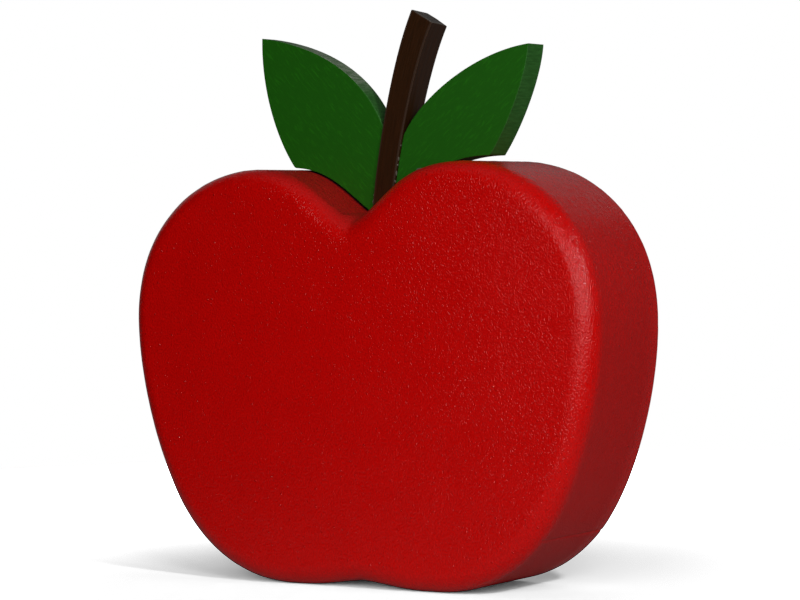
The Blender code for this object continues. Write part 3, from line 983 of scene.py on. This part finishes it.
def leaf_grid(outline, front, back, arris, middle):
    """Rings of a flat board: front face, front arris, edge, back arris and back face.

    Each arris is a quarter circle along mitred normals. The faces are the inset outline shrunk
    towards the leaf's middle. It also returns the poles and each row's material slot.
    """
    mitre = outward(outline)

    def ring(inset, depth):
        flat = outline - mitre * inset[:, None]
        return np.stack([flat[:, 0], depth * np.ones(len(flat)), flat[:, 1]], axis=1)

    small = np.minimum(arris, SMALLEST_ARRIS)
    front_edge = [ring(inset, front + depth) for inset, depth in rounding(arris, 6)]
    back_edge = [ring(inset, back - depth) for inset, depth in rounding(small, 5)[::-1]]
    low, high = front_edge[-1], back_edge[0]
    sides = [low * (1.0 - share) + high * share for share in (0.04, 0.25, 0.5, 0.75, 0.96)]
    poles = tuple(np.array([middle[0], y, middle[1]]) for y in (front, back))
    front_rings = shrunk(front_edge[0], poles[0], np.append(np.linspace(0.05, 0.95, 18), 0.985))
    back_rings = shrunk(back_edge[-1], poles[1], np.append(0.985, np.linspace(0.95, 0.05, 12)))
    grid = np.array(front_rings + front_edge + sides + back_edge + back_rings)
    slots = np.zeros(len(grid) - 1, int)
    first_sawn = len(front_rings) + 2
    slots[first_sawn:first_sawn + len(front_edge) + len(sides) + len(back_edge) - 4] = 1
    return grid, poles, slots


def make_leaf(name, node_name, outline, box, arris, middle, lean, look, rubbed):
    """One leaf, with brushed faces and sawn edges, which carry a painted grey sheen where the last
    argument is 1.
    """
    low, high = box
    grid, poles, slots = leaf_grid(outline, low[1], high[1], arris, middle)
    materials = [green_brushed_paint_on_board("green_brushed_paint_" + name, look, lean),
                 green_paint_on_sawn_edge("green_paint_on_sawn_edge_" + name, look)]
    masks = {"rubbed": np.tile(rubbed, (len(grid), 1))}
    piece = closed_surface(name, grid, poles, materials, slots, masks)
    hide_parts(node_name)
    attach(piece, "root")
    return piece


def make_left_leaf(look):
    """The left leaf: outer curve, lower edge, edge beside the stem, and an upper edge that is worn
    rounder beside the stem and carries a painted sheen.
    """
    at_stem = beside_stem(LEFT_STEM_HEIGHTS, -1)
    outer = bezier((LEFT_TIP, *LEFT_OUTER_HANDLES, LEFT_CORNER), 400)
    lower = bezier((LEFT_CORNER, *LEFT_LOWER_HANDLES, at_stem[0]), 400)
    upper = bezier((at_stem[-1], *LEFT_UPPER_HANDLES, LEFT_TIP), 200)
    counts = (60, 6, 50, 30, 84)
    outline = leaf_outline((*soft_corner(outer, lower, SOFT_CORNER), at_stem, upper), counts)
    x = outline[:, 0]
    on_upper = np.arange(len(outline)) >= sum(counts[:-1])
    near_stem = smooth_step(x, -40.0, -8.0)
    arris = look.arris / MM + (look.worn_arris - look.arris) / MM * near_stem * on_upper
    # Painted sheen: the upper edge is painted grey for light from behind reflected there, faded
    # out towards the tip and beside the stem.
    rubbed = on_upper * smooth_step(x, -112.0, -80.0) * (1.0 - smooth_step(x, -34.0, -12.0))
    return make_leaf("painted_left_leaf", "left_leaf", outline, (LEFT_LOW, LEFT_HIGH), arris,
                     LEFT_MIDDLE, LEFT_LEAN, look, rubbed)


def make_right_leaf(look):
    """The right leaf: edge beside the stem, lower edge, outer curve and upper edge."""
    at_stem = beside_stem(RIGHT_STEM_HEIGHTS, 1)
    lower = bezier((at_stem[0], *RIGHT_LOWER_HANDLES[::-1], RIGHT_CORNER), 200)
    outer = bezier((RIGHT_CORNER, *RIGHT_OUTER_HANDLES[::-1], RIGHT_TIP), 200)
    upper = bezier((RIGHT_TIP, *RIGHT_UPPER_HANDLES[::-1], at_stem[-1]), 200)
    outline = leaf_outline((lower, outer, upper, at_stem[::-1]), (56, 52, 84, 30))
    arris = np.full(len(outline), look.arris / MM)
    return make_leaf("painted_right_leaf", "right_leaf", outline, (RIGHT_LOW, RIGHT_HIGH), arris,
                     RIGHT_MIDDLE, RIGHT_LEAN, look, np.zeros(len(outline)))


# ---------------------------------------------------------------- glue beads

def make_bead(name, place, size, lean, seed, material):
    """A bead of dried glue: an ellipsoid with seeded unevenness, leant in the X-Z plane."""
    angles = np.linspace(0.0, 2.0 * np.pi, 25)[:-1]
    levels = np.linspace(-np.pi / 2, np.pi / 2, 15)[1:-1, None]
    ball = np.stack([np.cos(levels) * np.cos(angles), np.cos(levels) * np.sin(angles),
                     np.sin(levels) + 0.0 * angles], axis=-1)
    ball = ball * (1.0 + 0.12 * ripple(ball, 1.3, seed))[:, :, None] * np.array(size)
    turn = np.array([[cos(lean), 0.0, sin(lean)], [0.0, 1.0, 0.0], [-sin(lean), 0.0, cos(lean)]])
    ends = [np.array([0.0, 0.0, end]) @ turn.T + place for end in (-size[2], size[2])]
    piece = closed_surface(name, ball @ turn.T + place, ends, [material])
    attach(piece, "root")
    return piece


def make_glue(look):
    """Squeezed-out glue: small beads in the joints beside the stem, and a smear on the right leaf.

    Each bead has a side of the stem, a height, a share of the longest bead's length and half its
    thickness.
    """
    material = dried_wood_glue(look)
    longest = look.bead_size / MM / 2
    front = STEM_LOW[1]
    beads = ((1, 323.0, 0.45, 0.55), (1, 329.5, 0.8, 0.4), (1, 336.0, 0.35, 0.45),
             (1, 341.0, 0.6, 0.35), (1, 351.5, 0.3, 0.4), (-1, 307.5, 0.9, 0.4),
             (-1, 312.5, 0.4, 0.35))
    for number, (side, height, share, thickness) in enumerate(beads, 1):
        place = np.array([stem_edge_at(height, side) + side * 0.2, front + 1.2, height])
        make_bead("glue_bead_%d" % number, place, (thickness, 1.0, share * longest),
                  radians(9.0), number, material)
    make_bead("glue_smear", np.array([35.3, RIGHT_LOW[1], 332.3]), (3.0, 0.35, 0.45),
              radians(-10.0), 9, material)


# ---------------------------------------------------------------- stage

# Each light: azimuth round to the right of the front, elevation, width and height in metres.
LIGHTS = {
    "key_box": (47.0, 20.0, 0.4, 0.55),
    "fill_box": (12.0, 14.0, 0.9, 0.8),
    "low_box": (38.0, 3.0, 2.2, 0.35),
    "sparkle_lamp": (65.0, 27.0, 0.14, 0.14),
    "top_box": (-20.0, 66.0, 1.4, 1.0),
    "back_card": (-158.0, 28.0, 1.2, 0.8),
    "right_card": (105.0, 22.0, 1.0, 0.8),
    "left_card": (-122.0, 16.0, 0.9, 0.8),
}
LIGHT_TARGET = Vector((0.0, 0.0, 0.2))
CAMERA_AIM = Vector((51.53, BODY_LOW[1], 229.02)) * MM


def facing_out(azimuth, elevation):
    """The direction from the object to a light or camera, as a unit vector."""
    return Vector((sin(azimuth) * cos(elevation), -cos(azimuth) * cos(elevation), sin(elevation)))


def make_floor(look):
    """A round pale floor at the height of the feet, fading out at its rim.

    Vertex (i, j) is point j of ring i, at a radius that grows evenly. The last is the middle.
    """
    angles = np.linspace(0.0, 2.0 * np.pi, 97)[:-1]
    radii = np.linspace(0.0, look.floor_radius, 40)[1:, None]
    disc = np.stack([radii * np.cos(angles), radii * np.sin(angles), 0.0 * radii * angles],
                    axis=-1)
    points = np.vstack([disc.reshape(-1, 3), [[0.0, 0.0, 0.0]]])
    count = len(angles)
    ring = np.arange(len(radii) - 1)[:, None] * count
    here = np.arange(count)[None, :]
    there = (here + 1) % count
    quads = np.stack([ring + here, ring + count + here, ring + count + there, ring + there],
                     axis=-1)
    fan = np.stack([np.full(count, len(points) - 1), here[0], there[0]], axis=1)
    mesh = bpy.data.meshes.new("floor")
    mesh.from_pydata(points.tolist(), [], quads.reshape(-1, 4).tolist() + fan.tolist())
    floor = bpy.data.objects.new("floor", mesh)
    bpy.context.scene.collection.objects.link(floor)
    material, add, shader = new_material("plain_pale_floor")
    from_middle = add("VectorMath", {"operation": "LENGTH"}, i0=add("TexCoord").outputs["Object"])
    fade = add("MapRange", SMOOTH, Value=from_middle, From_Min=0.15 * look.floor_radius,
               From_Max=0.8 * look.floor_radius, To_Min=1.0, To_Max=0.0)
    plug(shader, Base_Color=(*look.floor_colour, 1.0), Roughness=0.9, Alpha=fade)
    mesh.materials.append(material)
    floor.is_shadow_catcher = True
    return floor


def make_area_light(name, distance, power):
    """A soft rectangular light that faces the object from its place in the list."""
    azimuth, elevation, width, height = LIGHTS[name]
    data = bpy.data.lights.new(name, "AREA")
    data.shape = "RECTANGLE"
    data.size, data.size_y = width, height
    data.energy = power
    light = bpy.data.objects.new(name, data)
    way = facing_out(radians(azimuth), radians(elevation))
    light.location = LIGHT_TARGET + way * distance
    light.rotation_euler = way.to_track_quat("Z", "Y").to_euler()
    light.visible_camera = False
    bpy.context.scene.collection.objects.link(light)
    return light


def make_lights(look):
    """Soft boxes in front and at the right, a small lamp for the sparkle, and weak light behind.

    All stand at the same distance from the object's middle. The world is white to the camera, and
    lights the object evenly from behind.
    """
    powers = (look.key_power, look.fill_power, look.low_power, look.sparkle_power, look.top_power,
              look.back_power, look.right_power, look.side_power)
    for name, watts in zip(LIGHTS, powers):
        make_area_light(name, look.light_distance, watts)
    world = bpy.data.worlds.new("studio")
    add = node_tree(world)
    white = (1.0, 1.0, 1.0, 1.0)
    way = add("SeparateXYZ", Vector=add("TexCoord").outputs["Generated"])
    behind = add("MapRange", SMOOTH, Value=way.outputs["Y"], From_Min=-0.1, From_Max=0.5,
                 To_Max=look.ambient)
    dim = add("Background", Color=white, Strength=behind)
    backdrop = add("Background", Color=white)
    rays = add("LightPath")
    mix = add("MixShader", i0=rays.outputs["Is Camera Ray"], i1=dim, i2=backdrop)
    add("OutputWorld", Surface=mix)
    bpy.context.scene.world = world


def make_camera(look):
    """The camera, from the front right and a little above the middle, rolled slightly."""
    azimuth, roll = look.camera_azimuth, look.camera_roll
    back = facing_out(azimuth, look.camera_elevation)
    right = Vector((cos(azimuth), sin(azimuth), 0.0))
    up = right.cross(-back)
    across = right * cos(roll) + up * sin(roll)
    upwards = -right * sin(roll) + up * cos(roll)
    data = bpy.data.cameras.new("camera")
    data.sensor_width = 36.0
    data.lens = look.camera_lens
    data.clip_end = 100.0
    camera = bpy.data.objects.new("camera", data)
    turn = Matrix((across, upwards, back)).transposed().to_4x4()
    camera.matrix_world = Matrix.Translation(CAMERA_AIM + back * look.camera_distance) @ turn
    bpy.context.scene.collection.objects.link(camera)
    bpy.context.scene.camera = camera
    bpy.context.scene.view_settings.view_transform = "Standard"


# ---------------------------------------------------------------- operators and panel

class DISPLAYAPPLE_OT_body(bpy.types.Operator):
    """Build the coated body in place of the frame's plain one"""

    bl_idname = "display_apple.body"
    bl_label = "Coated Body"

    def execute(self, context):
        make_body(settings().body)
        return {"FINISHED"}


class DISPLAYAPPLE_OT_stem(bpy.types.Operator):
    """Build the stained stem in place of the frame's plain one"""

    bl_idname = "display_apple.stem"
    bl_label = "Stained Stem"

    def execute(self, context):
        make_stem(settings().stem)
        return {"FINISHED"}


class DISPLAYAPPLE_OT_leaves(bpy.types.Operator):
    """Build both painted leaves in place of the frame's plain ones"""

    bl_idname = "display_apple.leaves"
    bl_label = "Painted Leaves"

    def execute(self, context):
        make_left_leaf(settings().leaves)
        make_right_leaf(settings().leaves)
        return {"FINISHED"}


class DISPLAYAPPLE_OT_rods(bpy.types.Operator):
    """Give the frame's dowel and pins their wood"""

    bl_idname = "display_apple.rods"
    bl_label = "Dowel and Pins"

    def execute(self, context):
        beech = turned_beech_rod()
        for name in ("stem_dowel", "left_leaf_pin", "right_leaf_pin"):
            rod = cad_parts[name]
            rod.data.materials.clear()
            rod.data.materials.append(beech)
        return {"FINISHED"}


class DISPLAYAPPLE_OT_glue(bpy.types.Operator):
    """Add the dried glue beside the stem"""

    bl_idname = "display_apple.glue"
    bl_label = "Glue Beads"

    def execute(self, context):
        make_glue(settings().glue)
        return {"FINISHED"}


class DISPLAYAPPLE_OT_stage(bpy.types.Operator):
    """Set up the floor, the soft lights and the camera"""

    bl_idname = "display_apple.stage"
    bl_label = "Stage"

    def execute(self, context):
        look = settings().stage
        make_floor(look)
        make_lights(look)
        make_camera(look)
        return {"FINISHED"}


class DISPLAYAPPLE_PT_panel(bpy.types.Panel):
    """Lists the pieces and their settings"""

    bl_idname = "DISPLAYAPPLE_PT_panel"
    bl_label = "Display Apple"
    bl_space_type = "VIEW_3D"
    bl_region_type = "UI"
    bl_category = "Display Apple"

    def draw(self, context):
        layout = self.layout
        for group in ("body", "leaves", "stem", "glue", "stage"):
            box = layout.box()
            values = getattr(context.scene.display_apple, group)
            for key in values.bl_rna.properties.keys():
                if key not in ("rna_type", "name"):
                    box.prop(values, key)
            box.operator("display_apple." + group)
        layout.operator("display_apple.rods")


CLASSES = (
    AppleBodySettings, LeafSettings, StemSettings, GlueSettings, StageSettings,
    DisplayAppleSettings, DISPLAYAPPLE_OT_body, DISPLAYAPPLE_OT_stem, DISPLAYAPPLE_OT_leaves,
    DISPLAYAPPLE_OT_rods, DISPLAYAPPLE_OT_glue, DISPLAYAPPLE_OT_stage, DISPLAYAPPLE_PT_panel,
)


def register():
    """Register the classes and attach the settings to the scene."""
    for item in CLASSES:
        bpy.utils.register_class(item)
    bpy.types.Scene.display_apple = PointerProperty(type=DisplayAppleSettings)


def unregister():
    """Take everything off again, in reverse order."""
    del bpy.types.Scene.display_apple
    for item in reversed(CLASSES):
        bpy.utils.unregister_class(item)


def main():
    """Build every piece and the stage."""
    register()
    bpy.ops.display_apple.body()
    bpy.ops.display_apple.stem()
    bpy.ops.display_apple.leaves()
    bpy.ops.display_apple.rods()
    bpy.ops.display_apple.glue()
    bpy.ops.display_apple.stage()


if __name__ == "__main__":
    main()
